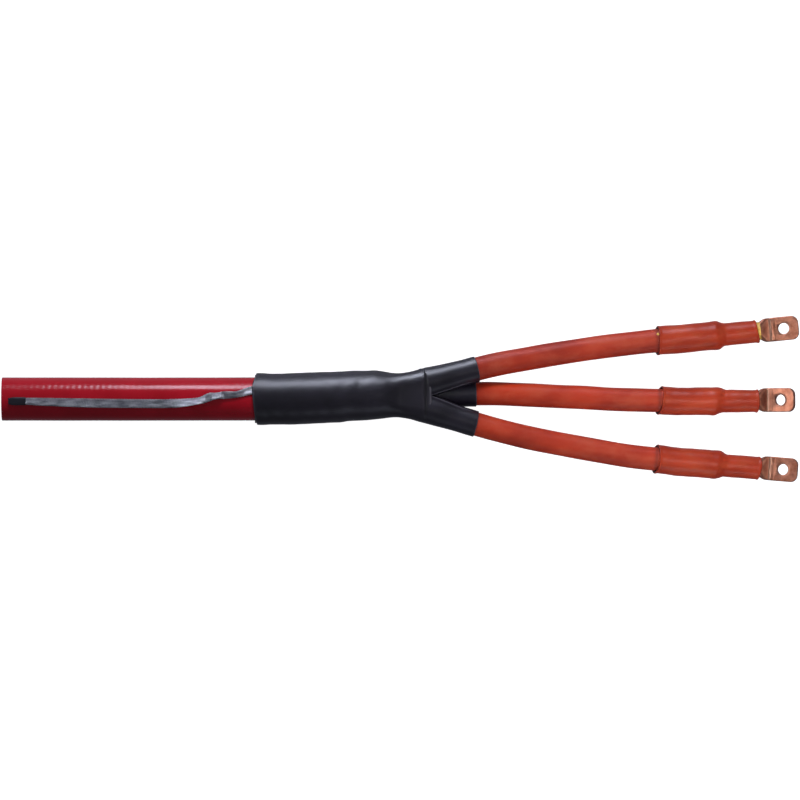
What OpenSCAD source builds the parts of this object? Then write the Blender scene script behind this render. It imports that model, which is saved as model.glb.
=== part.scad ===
// Indoor termination of a three-core power cable: sealed breakout boot, tubed cores and copper lugs.
// Millimetres, +Z up. It lies on a flat surface at Z = 0 with the cut cable at -X and the lugs at +X.
// Seen from the cable towards the lugs, the cores are the left, the middle and the right one.

/* [Cable] */
// Diameter of one stranded copper conductor
conductor_d = 9.9; // [8:0.1:12]
// Thickness of the screen extruded on the conductor
conductor_screen_t = 0.5; // [0.3:0.1:1]
// Thickness of the core insulation
insulation_t = 2.5; // [2:0.1:4]
// Thickness of the screen extruded on the insulation
insulation_screen_t = 0.5; // [0.3:0.1:1]
// Thickness of the copper tape lapped round each core
tape_t = 0.3; // [0.25:0.05:0.6]
// Gap between neighbouring cores in the cable
lay_gap = 0.6; // [0.4:0.1:1.5]
// Gap between the cores and the bore of the outer sheath
binder_t = 0.6; // [0.5:0.1:1.5]
// Thickness of the outer sheath
sheath_t = 1.8; // [1.5:0.1:4]
// Length of cable in front of the boot
cable_len = 251; // [230:1:400]
// Length of outer sheath under the boot
sheath_under = 111; // [90:1:140]

/* [Cable bend] */
// Distance from the boot mouth to where the cable starts to rise sideways
rise_at = 18; // [5:1:40]
// Angle of the sideways rise
rise_turn = 2.6; // [0.5:0.1:4]
// Bend radius at the start of the rise
rise_r = 1100; // [500:50:1500]
// Bend radius where the rise ends
rise_end_r = 450; // [300:25:600]

/* [Core paths] */
// Length of the bundled cores between the sheath end and the fan
neck_len = 25; // [22:1:40]
// Straight run before the first turn of each core
lead_run = 4; // [2:1:10]
// Turns of the left core, in degrees
left_turns = [16, -5.6, -4.6]; // [-30:0.1:30]
// Radii of the turns of the left core
left_radii = [150, 420, 1400]; // [60:10:3000]
// Straight runs after the turns of the left core, the last one up to the sleeve
left_runs = [40, 31, 3]; // [1:1:200]
// Turns of the middle core, in degrees
middle_turns = [1.8, -4.6, 3]; // [-30:0.1:30]
// Radii of the turns of the middle core
middle_radii = [700, 1100, 600]; // [60:10:3000]
// Straight runs after the turns of the middle core, the last one up to the sleeve
middle_runs = [24, 98, 3]; // [1:1:200]
// Turns of the right core, in degrees
right_turns = [-18.8, 8.3, 5.6]; // [-30:0.1:30]
// Radii of the turns of the right core
right_radii = [130, 800, 400]; // [60:10:3000]
// Straight runs after the turns of the right core, the last one up to the sleeve
right_runs = [18, 52, 2]; // [1:1:200]

/* [Boot] */
// Length of the boot from its mouth to the crotch between the fingers
boot_len = 172; // [165:1:200]
// Length of the full cylinder of the boot body
body_len = 93; // [60:1:105]
// Wall of the boot body over the sealing mastic
body_wall = 1.8; // [1.5:0.1:4]
// Step down of the boot past the full cylinder
shoulder_step = 0.9; // [0.3:0.1:1.4]
// Wall of the boot round the bundled cores
neck_wall = 3.4; // [2.5:0.1:5]
// Thickness of the web between the fingers
web_t = 3; // [2:0.5:6]
// Lengths of the three fingers past the crotch
finger_len = [54, 51, 54]; // [45:1:90]
// Wall of the fingers over the tubes
finger_wall = 1.2; // [0.8:0.1:2]
// Thickness of the sealing mastic between boot and sheath
mastic_t = 2.3; // [2.2:0.1:4]
// Thickness of the filling mastic round the bundled cores
crotch_mastic_t = 1.2; // [0.6:0.1:2]

/* [Earth lead] */
// Width of the flat earth braid
braid_w = 9; // [6:0.5:11]
// Thickness of the flat earth braid
braid_t = 1.8; // [1:0.1:1.9]
// Angle of the braid from the top of the cable at the boot mouth
braid_angle = 25; // [15:1:35]
// Thickness of the roll spring that holds the braid to the cores
spring_t = 1.2; // [0.8:0.1:2]
// Width of the roll spring
spring_w = 14; // [10:1:16]
// Length of the sleeve on the free end of the braid
tail_sleeve_len = 17.5; // [10:0.5:30]
// Width of the sleeve on the free end of the braid
tail_sleeve_w = 8; // [6:0.5:12]
// Height of the sleeve on the free end of the braid
tail_sleeve_h = 3.6; // [2.5:0.1:5]

/* [Core tubes] */
// Wall of the stress control tube over the copper tape
stress_wall = 0.8; // [0.5:0.1:2]
// Length of copper tape inside the stress control tube
tape_under = 16; // [8:1:40]
// Length of insulation screen past the copper tape
screen_past = 20; // [10:1:40]
// Length of stress mastic past the insulation screen
stress_mastic_past = 8; // [4:1:20]
// Wall of the outer anti-tracking tube
tube_wall = 1.9; // [1:0.1:3]
// Length of outer tube past the end of the insulation
tube_past = 2; // [1:0.5:4]

/* [Lug sleeves] */
// Wall of the sleeve over tube and lug barrel
sleeve_wall = 2.5; // [1.5:0.1:4]
// Length of each sleeve over its outer tube
sleeve_back = [59, 54, 60]; // [40:1:90]
// Length of the sleeve's taper between tube and barrel
sleeve_taper = 8; // [4:0.5:15]
// Thickness of mastic between sleeve and lug barrel
lug_mastic_t = 0.75; // [0.5:0.05:2]
// Length of mastic standing out of the sleeve at the lug
mastic_out = 0.8; // [0.3:0.1:2]
// Height of the rolled edge at the ends of the sleeve
sleeve_curl = 0.5; // [0.2:0.1:1]

/* [Lugs] */
// Outer diameter of the lug barrel
barrel_d = 16.5; // [14:0.1:18]
// Length of the lug barrel
barrel_len = 41; // [30:1:60]
// Distance from the insulation end to the barrel
barrel_gap = 3; // [2.5:0.5:6]
// Length of the flattened stretch between barrel and palm
flatten_len = 11; // [8:1:25]
// Width of the palm
palm_w = 24; // [20:0.5:30]
// Thickness of the palm
palm_t = 5; // [3:0.1:7]
// Length of the palm
palm_len = 29; // [24:0.5:40]
// Corner radius of the palm
palm_corner_r = 7; // [3:0.5:9]
// Diameter of the bolt hole in the palm
hole_d = 11; // [6:0.5:13]
// Distance from the root of the palm to the bolt hole
hole_at = 14; // [10:0.5:18]
// Upward tilt of the three palms, in degrees
palm_tilt = [8, 24, 15]; // [0:1:35]
// Places of the two hexagonal crimps, as shares of the barrel's length
crimp_shares = [0.3, 0.62]; // [0.2:0.01:0.8]
// Width of each hexagonal crimp on the barrel
crimp_w = 8; // [5:0.5:10]
// Distance across the flats of the crimps
crimp_flats = 15.6; // [14:0.1:16]

/* [Hidden] */
CORES = ["left", "middle", "right"];
CORE_PIECES = [
    "conductor", "conductor_screen", "insulation", "insulation_screen", "copper_tape",
    "stress_mastic", "stress_tube", "outer_tube", "lug", "lug_mastic", "lug_sleeve"
];

// Clearance between two layers that lie on each other
fit = 0.15;
// How much fuller a bend is than the straight runs whose ends seat in it
bend_seat = 0.05;
// Depth to which a straight run seats in the bends at its ends
bend_lap = 0.3;
// Inset of a lug's flattened stretch in the barrel and the palm, and how far they lap it
loft_inset = 0.1;
loft_lap = 0.4;
// Room between the roll spring and the boot
spring_room = 0.4;
// Overshoot of cutting tools
cut = 1;
// Sides of a full circle, of what is turned about an axis, of the boot's skin, of its lining, of the braid
// and of a lug's flattened stretch
ROUND = 64;
TURNED = 96;
SKIN = 48;
LINING = 36;
BRAID = 12;
FLAT = 32;

// Radii of the layers of one core
conductor_r = conductor_d / 2;
conductor_screen_r = conductor_r + conductor_screen_t;
insulation_r = conductor_screen_r + insulation_t;
insulation_screen_r = insulation_r + insulation_screen_t;
core_r = insulation_screen_r + tape_t;
stress_r = core_r + fit + stress_wall;
tube_r = stress_r + fit + tube_wall;
finger_r = tube_r + fit + finger_wall;
sleeve_r = tube_r + fit + sleeve_wall;
barrel_r = barrel_d / 2;
sleeve_nose_r = barrel_r + lug_mastic_t;

// The three cores lie in a triangle with its flat side up
half_lay = core_r + lay_gap / 2;
lay_r = half_lay * 2 / sqrt(3);
core_seats = [[half_lay, lay_r / 2], [0, -lay_r], [-half_lay, lay_r / 2]];
bundle_r = lay_r + core_r;
bore_r = bundle_r + binder_t;
sheath_r = bore_r + sheath_t;
seal_r = sheath_r + fit + mastic_t;
body_r = seal_r + fit + body_wall;
axis_z = body_r;

// Stations along the cable, measured from its cut end
sheath_end = cable_len + sheath_under;
fan_at = sheath_end + neck_len;
crotch_at = cable_len + boot_len;
finger_end = [for (length = finger_len) crotch_at + length];
spring_gap = 1;
spring_from = sheath_end + braid_t + spring_gap;
spring_to = spring_from + spring_w;
mastic_inset = 2;
mastic_from = cable_len + mastic_inset;

// Lengths of the two bends of the cable and of the straight between them
rise_len = rise_r * rise_turn * PI / 180;
rise_end_len = rise_end_r * rise_turn * PI / 180;
rise_run = fan_at - cable_len - rise_at - rise_len - rise_end_len;

// A path is a list of legs, each [straight length, turn, bend radius, roll before it]
function leg_len(leg) = leg[1] == 0 ? leg[0] : leg[2] * abs(leg[1]) * PI / 180;
function leg_start(legs, i) = i == 0 ? 0 : leg_start(legs, i - 1) + leg_len(legs[i - 1]);
function path_len(legs) = leg_start(legs, len(legs));
function moved(v) = [[1, 0, 0, v[0]], [0, 1, 0, v[1]], [0, 0, 1, v[2]], [0, 0, 0, 1]];
function turned(a) = [[cos(a), -sin(a), 0, 0], [sin(a), cos(a), 0, 0], [0, 0, 1, 0], [0, 0, 0, 1]];
function rolled(a) = [[1, 0, 0, 0], [0, cos(a), -sin(a), 0], [0, sin(a), cos(a), 0], [0, 0, 0, 1]];
function pitched(a) = [[cos(a), 0, -sin(a), 0], [0, 1, 0, 0], [sin(a), 0, cos(a), 0], [0, 0, 0, 1]];
function bent(a, r) = moved([r * sin(abs(a)), sign(a) * r * (1 - cos(a)), 0]) * turned(a);
function along(leg, d) =
    rolled(leg[3]) * (leg[1] == 0 ? moved([d, 0, 0]) : bent(sign(leg[1]) * d / leg[2] * 180 / PI, leg[2]));
function leg_frame(path, i) =
    i == 0 ? path[0] : leg_frame(path, i - 1) * along(path[1][i - 1], leg_len(path[1][i - 1]));
function leg_at(legs, s, i = 0) =
    i == len(legs) - 1 || s < leg_start(legs, i + 1) ? i : leg_at(legs, s, i + 1);
function frame_at(path, s) =
    let (i = leg_at(path[1], s)) leg_frame(path, i) * along(path[1][i], s - leg_start(path[1], i));
function place(frame) = [frame[0][3], frame[1][3], frame[2][3]];
function mix(a, b, t) = a + (b - a) * t;
function smooth(t) = t * t * (3 - 2 * t);

// The cable and the cores inside it run side by side, so their bends share a centre
function trunk_legs(side) = [
    [cable_len + rise_at, 0, 0, 0],
    [0, rise_turn, rise_r - side, 0],
    [rise_run, 0, 0, 0],
    [0, -rise_turn, rise_end_r + side, 0]
];
turns = [left_turns, middle_turns, right_turns];
radii = [left_radii, middle_radii, right_radii];
runs = [left_runs, middle_runs, right_runs];
function fan_legs(k, roll) = concat(
    [[lead_run, 0, 0, roll]],
    [for (i = [0 : 2]) each [
        [0, turns[k][i], radii[k][i], 0],
        [runs[k][i] + (i == 2 ? sleeve_back[k] : 0), 0, 0, 0]
    ]]
);
// An outer core fans out in a tilted plane, so that its sleeve comes down to the surface
function fan_drift(k) = place(frame_at([moved([0, 0, 0]), fan_legs(k, 0)], path_len(fan_legs(k, 0))))[1];
function fan_roll(k) = k == 1 ? 0 : -asin((axis_z + core_seats[k][1] - sleeve_r) / fan_drift(k));
core_legs = [for (k = [0 : 2]) concat(trunk_legs(core_seats[k][0]), fan_legs(k, fan_roll(k)))];
insulation_end = [for (legs = core_legs) path_len(legs)];

// Stretch of the longest core and lug along X, which sets the middle of the part
lug_len = barrel_gap + barrel_len + flatten_len;
function tip_x(k) =
    place(frame_at([moved([0, 0, 0]), core_legs[k]], insulation_end[k] + lug_len))[0]
    + palm_len * cos(palm_tilt[k]);
reach = max([for (k = [0 : 2]) tip_x(k)]);
start_x = -reach / 2;
cable_path = [moved([start_x, 0, axis_z]), concat(trunk_legs(0), [[boot_len, 0, 0, 0]])];
function core_start(k) = [start_x, core_seats[k][0], axis_z + core_seats[k][1]];
core_paths = [for (k = [0 : 2]) [moved(core_start(k)), core_legs[k]]];
function core_at(k, s) = place(frame_at(core_paths[k], s));

// Each tube starts where its core has fanned out far enough: the middle one first, clear of the cores
// beside it, and the outer ones further on, clear of the middle tube
tube_gap = 0.5;
function core_gap(k, s) = norm(core_at(k, s) - core_at(1, s));
function first_clear(k, s, gap) = core_gap(k, s) >= gap ? s : first_clear(k, s + 1, gap);
function clear_from(k, r) = first_clear(k, crotch_at, tube_r + r + tube_gap);
tube_from = [
    clear_from(0, tube_r),
    max(clear_from(0, stress_r), clear_from(2, stress_r)),
    clear_from(2, tube_r)
];
stress_lead = 4;
stress_from = [for (from = tube_from) from - stress_lead];
tape_end = max(max(finger_end), max(stress_from) + tape_under);
screen_end = tape_end + screen_past;
stress_mastic_end = screen_end + stress_mastic_past;

// The end of each core, level across and with +X along the lug
function levelled(frame) = frame * rolled(-atan2(frame[2][1], frame[2][2]));
function lug_frame(k) = levelled(frame_at(core_paths[k], insulation_end[k]));
barrel_end = barrel_gap + barrel_len;
barrel_floor = 2;
bore_end = barrel_end - barrel_floor;
// Room between the end of the conductor and the bottom of the lug's bore
conductor_room = 2;
conductor_end = bore_end - conductor_room;
palm_drop = barrel_r - palm_t / 2;
function palm_frame(k) = lug_frame(k) * moved([lug_len, 0, -palm_drop]) * pitched(palm_tilt[k]);

// The braid lies in the mastic, then steps down between the cores and the roll spring
braid_seat = sheath_r + fit;
braid_half_angle = asin(braid_w / 2 / braid_seat);
function core_reach(angle) =
    let (c = core_seats[0], d = c * [sin(angle), cos(angle)])
    d + sqrt(d * d - c * c + core_r * core_r);
braid_low_seat = core_reach(braid_angle + braid_half_angle) + fit;
// Angles by which the mastic's groove is wider than the braid, and each step of the braid narrower
groove_room = 1;
groove_r = braid_seat + braid_t + fit;
step_inset = 0.5;
step_from = sheath_end + fit;
step_to = step_from + braid_t;
spring_bore_r = max(bundle_r, braid_low_seat + braid_t) + fit;
spring_r = spring_bore_r + spring_t;

// Route of the free braid over the cable: share of the cable in front of the boot, sideways, above the
// cable's axis, and tilt of the flat side
braid_route = [
    [0.096, -2.2, 22.6, -6], [0.12, -2.3, 22.6, -6], [0.18, -2.8, 22.6, -7], [0.247, -3.3, 22.5, -8],
    [0.319, -3.8, 22.4, -10], [0.39, -4, 22.4, -10], [0.458, -4.1, 22.4, -10], [0.526, -4.2, 22.4, -10],
    [0.598, -4.1, 22.4, -10], [0.657, -4, 22.4, -10], [0.709, -3.7, 22.5, -9], [0.749, -3, 22.6, -6],
    [0.785, -1.4, 22.8, 4], [0.817, 0.6, 22.9, 10], [0.849, 2.6, 22.8, 11], [0.885, 4.2, 22.5, 12],
    [0.924, 5.8, 22.1, 15], [0.964, 7.8, 21.4, 20], [1, 9.5, 20.5, 25]
];
function route_x(p) = start_x + cable_len * p[0];

// Sweeps a flat outline, drawn across the path, along a path from one station to another
module sweep(path, from, to) {
    legs = path[1];
    for (i = [0 : len(legs) - 1]) {
        straight = legs[i][1] == 0;
        begin = leg_start(legs, i);
        end = i == len(legs) - 1 ? to : begin + leg_len(legs[i]) + (straight ? bend_lap : 0);
        a = max(from, begin - (straight && i > 0 ? bend_lap : 0));
        b = min(to, end);
        if (b > a) multmatrix(leg_frame(path, i) * along(legs[i], a - begin)) {
            if (straight) straight_run(b - a) children();
            else bent_run(b - a, sign(legs[i][1]), legs[i][2]) children();
        }
    }
}

module straight_run(length) {
    $fuller = 0;
    multmatrix([[0, 0, 1, 0], [1, 0, 0, 0], [0, 1, 0, 0], [0, 0, 0, 1]]) linear_extrude(length) children();
}

module bent_run(length, side, r) {
    $fuller = bend_seat;
    angle = length / r * 180 / PI;
    translate([0, side * r, 0])
        rotate([0, 0, side > 0 ? -90 : 90 - angle])
            rotate_extrude(angle = angle, $fn = TURNED)
                translate([r, 0]) mirror([side > 0 ? 1 : 0, 0]) children();
}

// Outlines across a path, a little fuller in the bends
module disc(r) {
    circle(r + $fuller, $fn = ROUND);
}

module ring(outer, inner) {
    difference() {
        disc(outer);
        circle(inner - $fuller, $fn = ROUND);
    }
}

module ring_sector(outer, inner, half_angle) {
    half = half_angle + $fuller / outer * 180 / PI;
    far = 2 * outer;
    intersection() {
        ring(outer, inner);
        polygon([
            [0, 0],
            far * [sin(braid_angle - half), cos(braid_angle - half)],
            far * [sin(braid_angle + half), cos(braid_angle + half)]
        ]);
    }
}

// A layer of one core from one station to another
module layer(k, from, to, outer, inner = 0) {
    sweep(core_paths[k], from, to) {
        if (inner > 0) ring(outer, inner);
        else disc(outer);
    }
}

// A skin through closed rings of points, with flat ends
module loft(rings) {
    n = len(rings[0]);
    last = len(rings) - 1;
    points = [for (ring = rings) each ring];
    sides = [for (i = [0 : last - 1]) for (j = [0 : n - 1])
        let (a = i * n + j, b = i * n + (j + 1) % n)
        each [[a, b + n, b], [a, a + n, b + n]]];
    polyhedron(concat(points, [middle_of(rings[0]), middle_of(rings[last])]), concat(
        sides,
        [for (j = [0 : n - 1]) [j, (j + 1) % n, len(points)]],
        [for (j = [0 : n - 1]) [last * n + (j + 1) % n, last * n + j, len(points) + 1]]
    ));
}
function sum(list, i = 0) = i == len(list) - 1 ? list[i] : list[i] + sum(list, i + 1);
function middle_of(ring) = sum(ring) / len(ring);

// Ring round three lobes, one on each core: with no spread it is a circle round the cable's axis
function lobe_ring(s, spread, r, n) =
    let (
        axis = place(frame_at(cable_path, s)),
        lobes = [for (k = [0 : 2]) spread * (core_at(k, s) - axis)]
    )
    [for (j = [0 : n - 1])
        let (
            out = [0, cos(360 * j / n), sin(360 * j / n)],
            far = max([for (lobe = lobes) lobe * out]),
            lobe = [for (lobe = lobes) if (lobe * out == far) lobe][0]
        )
        axis + lobe + r * out];
// Stations of the neck, from round behind the roll spring to three lobes round the cores
spring_cover = 2;
lobe_run = 12;
neck_from = spring_to + spring_cover;
neck_to = fan_at + lobe_run;
function neck_rings(round_r, lobe_r, to, n) = concat(
    [for (t = [0 : 0.2 : 1])
        lobe_ring(mix(neck_from, neck_to, t), smooth(t), mix(round_r, lobe_r, smooth(t)), n)],
    [for (t = [0.25 : 0.25 : 1]) lobe_ring(mix(neck_to, to, t), 1, lobe_r, n)]
);
cavity_r = spring_r + spring_room;
cavity_lobe_r = core_r + fit + crotch_mastic_t;
// The neck's lobes stand a little proud of the fingers that root in them
finger_inset = 0.3;
finger_root = 5;
neck_r = max(cavity_lobe_r + neck_wall, finger_r + finger_inset);
// The body steps down to its shoulder, and its mouth and its crotch have rounded edges
shoulder_run = 6;
shoulder_r = body_r - shoulder_step;
lip_share = 0.9;
lip_r = lip_share * body_wall;
crotch_round = 1;

module breakout_boot_skin() {
    loft(concat(
        [for (a = [0 : 30 : 90])
            lobe_ring(cable_len + lip_r * (1 - cos(a)), 0, body_r - lip_r * (1 - sin(a)), SKIN)],
        [for (t = [0.2 : 0.2 : 1]) lobe_ring(cable_len + body_len * t, 0, body_r, SKIN)],
        [lobe_ring(cable_len + body_len + shoulder_run, 0, shoulder_r, SKIN)],
        neck_rings(shoulder_r, neck_r, crotch_at - crotch_round, SKIN),
        [lobe_ring(crotch_at, 1, neck_r - crotch_round, SKIN)]
    ));
}

module breakout_boot_cavity(clearance) {
    loft(concat(
        [lobe_ring(sheath_end - clearance, 0, cavity_r, LINING)],
        neck_rings(cavity_r, cavity_lobe_r, crotch_at - web_t, LINING)
    ));
}

module breakout_boot() {
    color("#26252b")
    difference() {
        union() {
            breakout_boot_skin();
            for (k = [0 : 2]) layer(k, crotch_at - finger_root, finger_end[k], finger_r);
        }
        sweep(cable_path, cable_len - cut, step_to + fit) disc(seal_r + fit);
        breakout_boot_cavity(cut);
        for (k = [0 : 2]) {
            layer(k, crotch_at - web_t - core_r / 2, stress_from[k], core_r + fit);
            layer(k, stress_from[k] - fit, tube_from[k], stress_r + fit);
            layer(k, tube_from[k] - fit, finger_end[k] + cut, tube_r + fit);
        }
    }
}

module outer_sheath() {
    color("#9b1a26") sweep(cable_path, 0, sheath_end) ring(sheath_r, bore_r);
}

module core_filler() {
    color("#c9c3b4") sweep(cable_path, 0, sheath_end) {
        difference() {
            circle(bore_r - fit - $fuller, $fn = ROUND);
            for (seat = core_seats) translate(seat) circle(core_r + fit + $fuller, $fn = ROUND);
        }
    }
}

module sheath_mastic() {
    color("#3a3636") sweep(cable_path, mastic_from, sheath_end) {
        difference() {
            circle(seal_r - $fuller, $fn = ROUND);
            circle(sheath_r + fit + $fuller, $fn = ROUND);
            ring_sector(groove_r + 2 * $fuller, sheath_r - cut, braid_half_angle + groove_room);
        }
    }
}

module crotch_mastic() {
    color("#b8a23c") difference() {
        loft(neck_rings(cavity_r - fit, cavity_lobe_r - fit, crotch_at - web_t - fit, LINING));
        for (k = [0 : 2]) layer(k, neck_from - cut, crotch_at, core_r + fit);
    }
}

module roll_spring() {
    color("#b5b8bd") sweep(cable_path, spring_from, spring_to) ring(spring_r, spring_bore_r);
}

module braid_root() {
    color("#8f949c") union() {
        sweep(cable_path, cable_len, step_to)
            ring_sector(braid_seat + braid_t, braid_seat, braid_half_angle);
        sweep(cable_path, step_from, step_to)
            ring_sector(braid_seat + braid_t / 2, braid_low_seat + braid_t / 2,
                braid_half_angle - step_inset);
        sweep(cable_path, step_from, spring_to)
            ring_sector(braid_low_seat + braid_t, braid_low_seat, braid_half_angle - 2 * step_inset);
    }
}

// The flat braid's outline is a rounded strip, and it leans by the route's tilt
braid_squareness = 0.5;
module earth_braid() {
    color("#9aa0a8") loft([for (p = braid_route)
        [for (j = [0 : BRAID - 1])
            let (
                a = 360 * (j + 0.5) / BRAID,
                across = braid_w / 2 * sign(cos(a)) * pow(abs(cos(a)), braid_squareness),
                up = braid_t / 2 * sin(a)
            )
            [route_x(p), p[1] + across * cos(p[3]) + up * sin(p[3]),
             axis_z + p[2] - across * sin(p[3]) + up * cos(p[3])]]]);
}

module braid_end_sleeve() {
    end = braid_route[0];
    round_r = tail_sleeve_h / 2;
    color("#1d1d22") translate([route_x(end) - tail_sleeve_len, end[1], axis_z + end[2]])
        rotate([-end[3], 0, 0])
            translate([0, 0, round_r - braid_t / 2])
                straight_run(tail_sleeve_len) {
                    square([tail_sleeve_w - tail_sleeve_h, tail_sleeve_h], center = true);
                    for (side = [-1, 1])
                        translate([side * (tail_sleeve_w / 2 - round_r), 0]) circle(round_r, $fn = ROUND);
                }
}

module conductor(k) {
    color("#b5714d") layer(k, 0, insulation_end[k] + conductor_end, conductor_r);
}

module conductor_screen(k) {
    color("#2b2b2e") layer(k, 0, insulation_end[k], conductor_screen_r, conductor_r + fit);
}

module insulation(k) {
    color("#e8e4d8") layer(k, 0, insulation_end[k], insulation_r, conductor_screen_r + fit);
}

module insulation_screen(k) {
    color("#2b2b2e") layer(k, 0, screen_end, insulation_screen_r, insulation_r + fit);
}

module copper_tape(k) {
    color("#c07a4f") layer(k, 0, tape_end, core_r, insulation_screen_r + fit);
}

module stress_mastic(k) {
    color("#d8b436") difference() {
        layer(k, tape_end + fit, stress_mastic_end, core_r, insulation_r + fit);
        layer(k, tape_end - cut, screen_end + fit, insulation_screen_r + fit);
    }
}

module stress_tube(k) {
    color("#222226") difference() {
        layer(k, stress_from[k], insulation_end[k], stress_r, insulation_r + fit);
        layer(k, stress_from[k] - cut, stress_mastic_end + fit, core_r + fit);
    }
}

module outer_tube(k) {
    color("#b23e26") layer(k, tube_from[k], insulation_end[k] + tube_past, tube_r, stress_r + fit);
}

// Turns a half outline, drawn as [radius, distance past the insulation], about the axis of a lug
module on_lug_axis(k) {
    multmatrix(lug_frame(k)) rotate([0, 90, 0]) rotate_extrude($fn = TURNED) children();
}

// Stations along the lug axis where the sleeve narrows from the tube to the barrel
narrow_from = tube_past + fit;
narrow_to = narrow_from + sleeve_taper;

module lug_mastic(k) {
    color("#e0b52c") on_lug_axis(k) polygon([
        [conductor_r + fit, fit], [stress_r, fit], [stress_r, narrow_from], [tube_r, narrow_from],
        [sleeve_nose_r - fit, narrow_to], [sleeve_nose_r - fit, barrel_end + mastic_out],
        [barrel_r + fit, barrel_end + mastic_out], [barrel_r + fit, barrel_gap - fit],
        [conductor_r + fit, barrel_gap - fit]
    ]);
}

module lug_sleeve(k) {
    wide = tube_r + fit;
    color("#a5402f") on_lug_axis(k) polygon([
        [wide, -sleeve_back[k]], [wide + sleeve_wall + sleeve_curl, -sleeve_back[k] + sleeve_curl],
        [wide + sleeve_wall, -sleeve_back[k] + 3 * sleeve_curl], [wide + sleeve_wall, narrow_from],
        [sleeve_nose_r + sleeve_wall, narrow_to],
        [sleeve_nose_r + sleeve_wall, barrel_end - 3 * sleeve_curl],
        [sleeve_nose_r + sleeve_wall + sleeve_curl, barrel_end - sleeve_curl],
        [sleeve_nose_r, barrel_end],
        [sleeve_nose_r, narrow_to], [wide, narrow_from]
    ]);
}

// Ring of the flattened stretch: a circle that widens and thins to the palm's nearly square section
palm_squareness = 0.25;
function flatten_ring(k, t, past) =
    let (
        w = smooth(t),
        half_w = mix(barrel_r, palm_w / 2, w) - loft_inset,
        half_t = mix(barrel_r, palm_t / 2, w) - loft_inset,
        power = mix(1, palm_squareness, w),
        frame = lug_frame(k) * moved([mix(barrel_end, lug_len, t), 0, -palm_drop * w])
            * pitched(palm_tilt[k] * w) * moved([past, 0, 0])
    )
    [for (j = [0 : FLAT - 1])
        let (
            a = 360 * (j + 0.5) / FLAT,
            y = half_w * sign(cos(a)) * pow(abs(cos(a)), power),
            z = half_t * sign(sin(a)) * pow(abs(sin(a)), power),
            p = frame * [0, y, z, 1]
        )
        [p[0], p[1], p[2]]];

module palm_outline() {
    half = palm_w / 2 - palm_corner_r;
    translate([-loft_lap, -palm_w / 2]) square([palm_len - palm_corner_r + loft_lap, palm_w]);
    translate([0, -half]) square([palm_len, 2 * half]);
    for (side = [-1, 1])
        translate([palm_len - palm_corner_r, side * half]) circle(palm_corner_r, $fn = ROUND);
}

module lug(k) {
    crimps = [for (share = crimp_shares) barrel_gap + barrel_len * share];
    color("#c2805f") difference() {
        union() {
            multmatrix(lug_frame(k)) translate([barrel_gap, 0, 0]) rotate([0, 90, 0])
                cylinder(h = barrel_len + loft_lap, r = barrel_r, $fn = ROUND);
            loft(concat(
                [flatten_ring(k, 0, -2 * loft_lap)],
                [for (t = [0 : 0.125 : 1]) flatten_ring(k, t, 0)],
                [flatten_ring(k, 1, 2 * loft_lap)]
            ));
            multmatrix(palm_frame(k)) translate([0, 0, -palm_t / 2]) linear_extrude(palm_t) palm_outline();
        }
        multmatrix(lug_frame(k)) rotate([0, 90, 0]) {
            cylinder(h = bore_end, r = conductor_r + fit, $fn = ROUND);
            for (at = crimps) translate([0, 0, at - crimp_w / 2]) difference() {
                cylinder(h = crimp_w, r = barrel_r + cut, $fn = ROUND);
                translate([0, 0, -cut])
                    cylinder(h = crimp_w + 2 * cut, r = crimp_flats / sqrt(3), $fn = 6);
            }
        }
        multmatrix(palm_frame(k)) translate([hole_at, 0, -palm_t])
            cylinder(h = 2 * palm_t, r = hole_d / 2, $fn = ROUND);
    }
}

outer_sheath();
core_filler();
earth_braid();
braid_end_sleeve();
braid_root();
roll_spring();
sheath_mastic();
crotch_mastic();
breakout_boot();
for (k = [0 : 2]) {
    conductor(k);
    conductor_screen(k);
    insulation(k);
    insulation_screen(k);
    copper_tape(k);
    stress_mastic(k);
    stress_tube(k);
    outer_tube(k);
    lug(k);
    lug_mastic(k);
    lug_sleeve(k);
}
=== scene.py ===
"""Looks of an indoor cable termination: a red three-core cable, a black breakout boot, three tubed cores
with sleeved copper lugs, and a flat earth braid. Shapes are worked out in millimetres, in the frame of the
solids."""

import bpy
import numpy as np
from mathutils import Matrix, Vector


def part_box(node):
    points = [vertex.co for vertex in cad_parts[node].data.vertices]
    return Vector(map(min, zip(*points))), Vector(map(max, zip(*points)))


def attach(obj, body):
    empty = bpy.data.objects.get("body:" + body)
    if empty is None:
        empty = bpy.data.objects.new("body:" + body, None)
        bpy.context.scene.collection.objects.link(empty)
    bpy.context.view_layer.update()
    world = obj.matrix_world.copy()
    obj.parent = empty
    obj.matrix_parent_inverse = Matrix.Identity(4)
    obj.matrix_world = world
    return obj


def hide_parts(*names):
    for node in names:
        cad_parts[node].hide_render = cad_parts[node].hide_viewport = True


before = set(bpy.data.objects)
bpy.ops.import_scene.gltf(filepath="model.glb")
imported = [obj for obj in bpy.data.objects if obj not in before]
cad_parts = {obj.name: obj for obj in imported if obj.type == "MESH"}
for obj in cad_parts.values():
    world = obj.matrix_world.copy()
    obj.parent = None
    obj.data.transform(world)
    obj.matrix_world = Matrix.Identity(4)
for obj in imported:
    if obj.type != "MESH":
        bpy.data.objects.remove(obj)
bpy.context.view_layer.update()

MM = 0.001
TURN = 2 * np.pi
CORES = ["left", "middle", "right"]


def node_box(node):
    """Lowest and highest corner of a node, in millimetres."""
    low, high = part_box(node)
    return np.array(low) / MM, np.array(high) / MM


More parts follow.
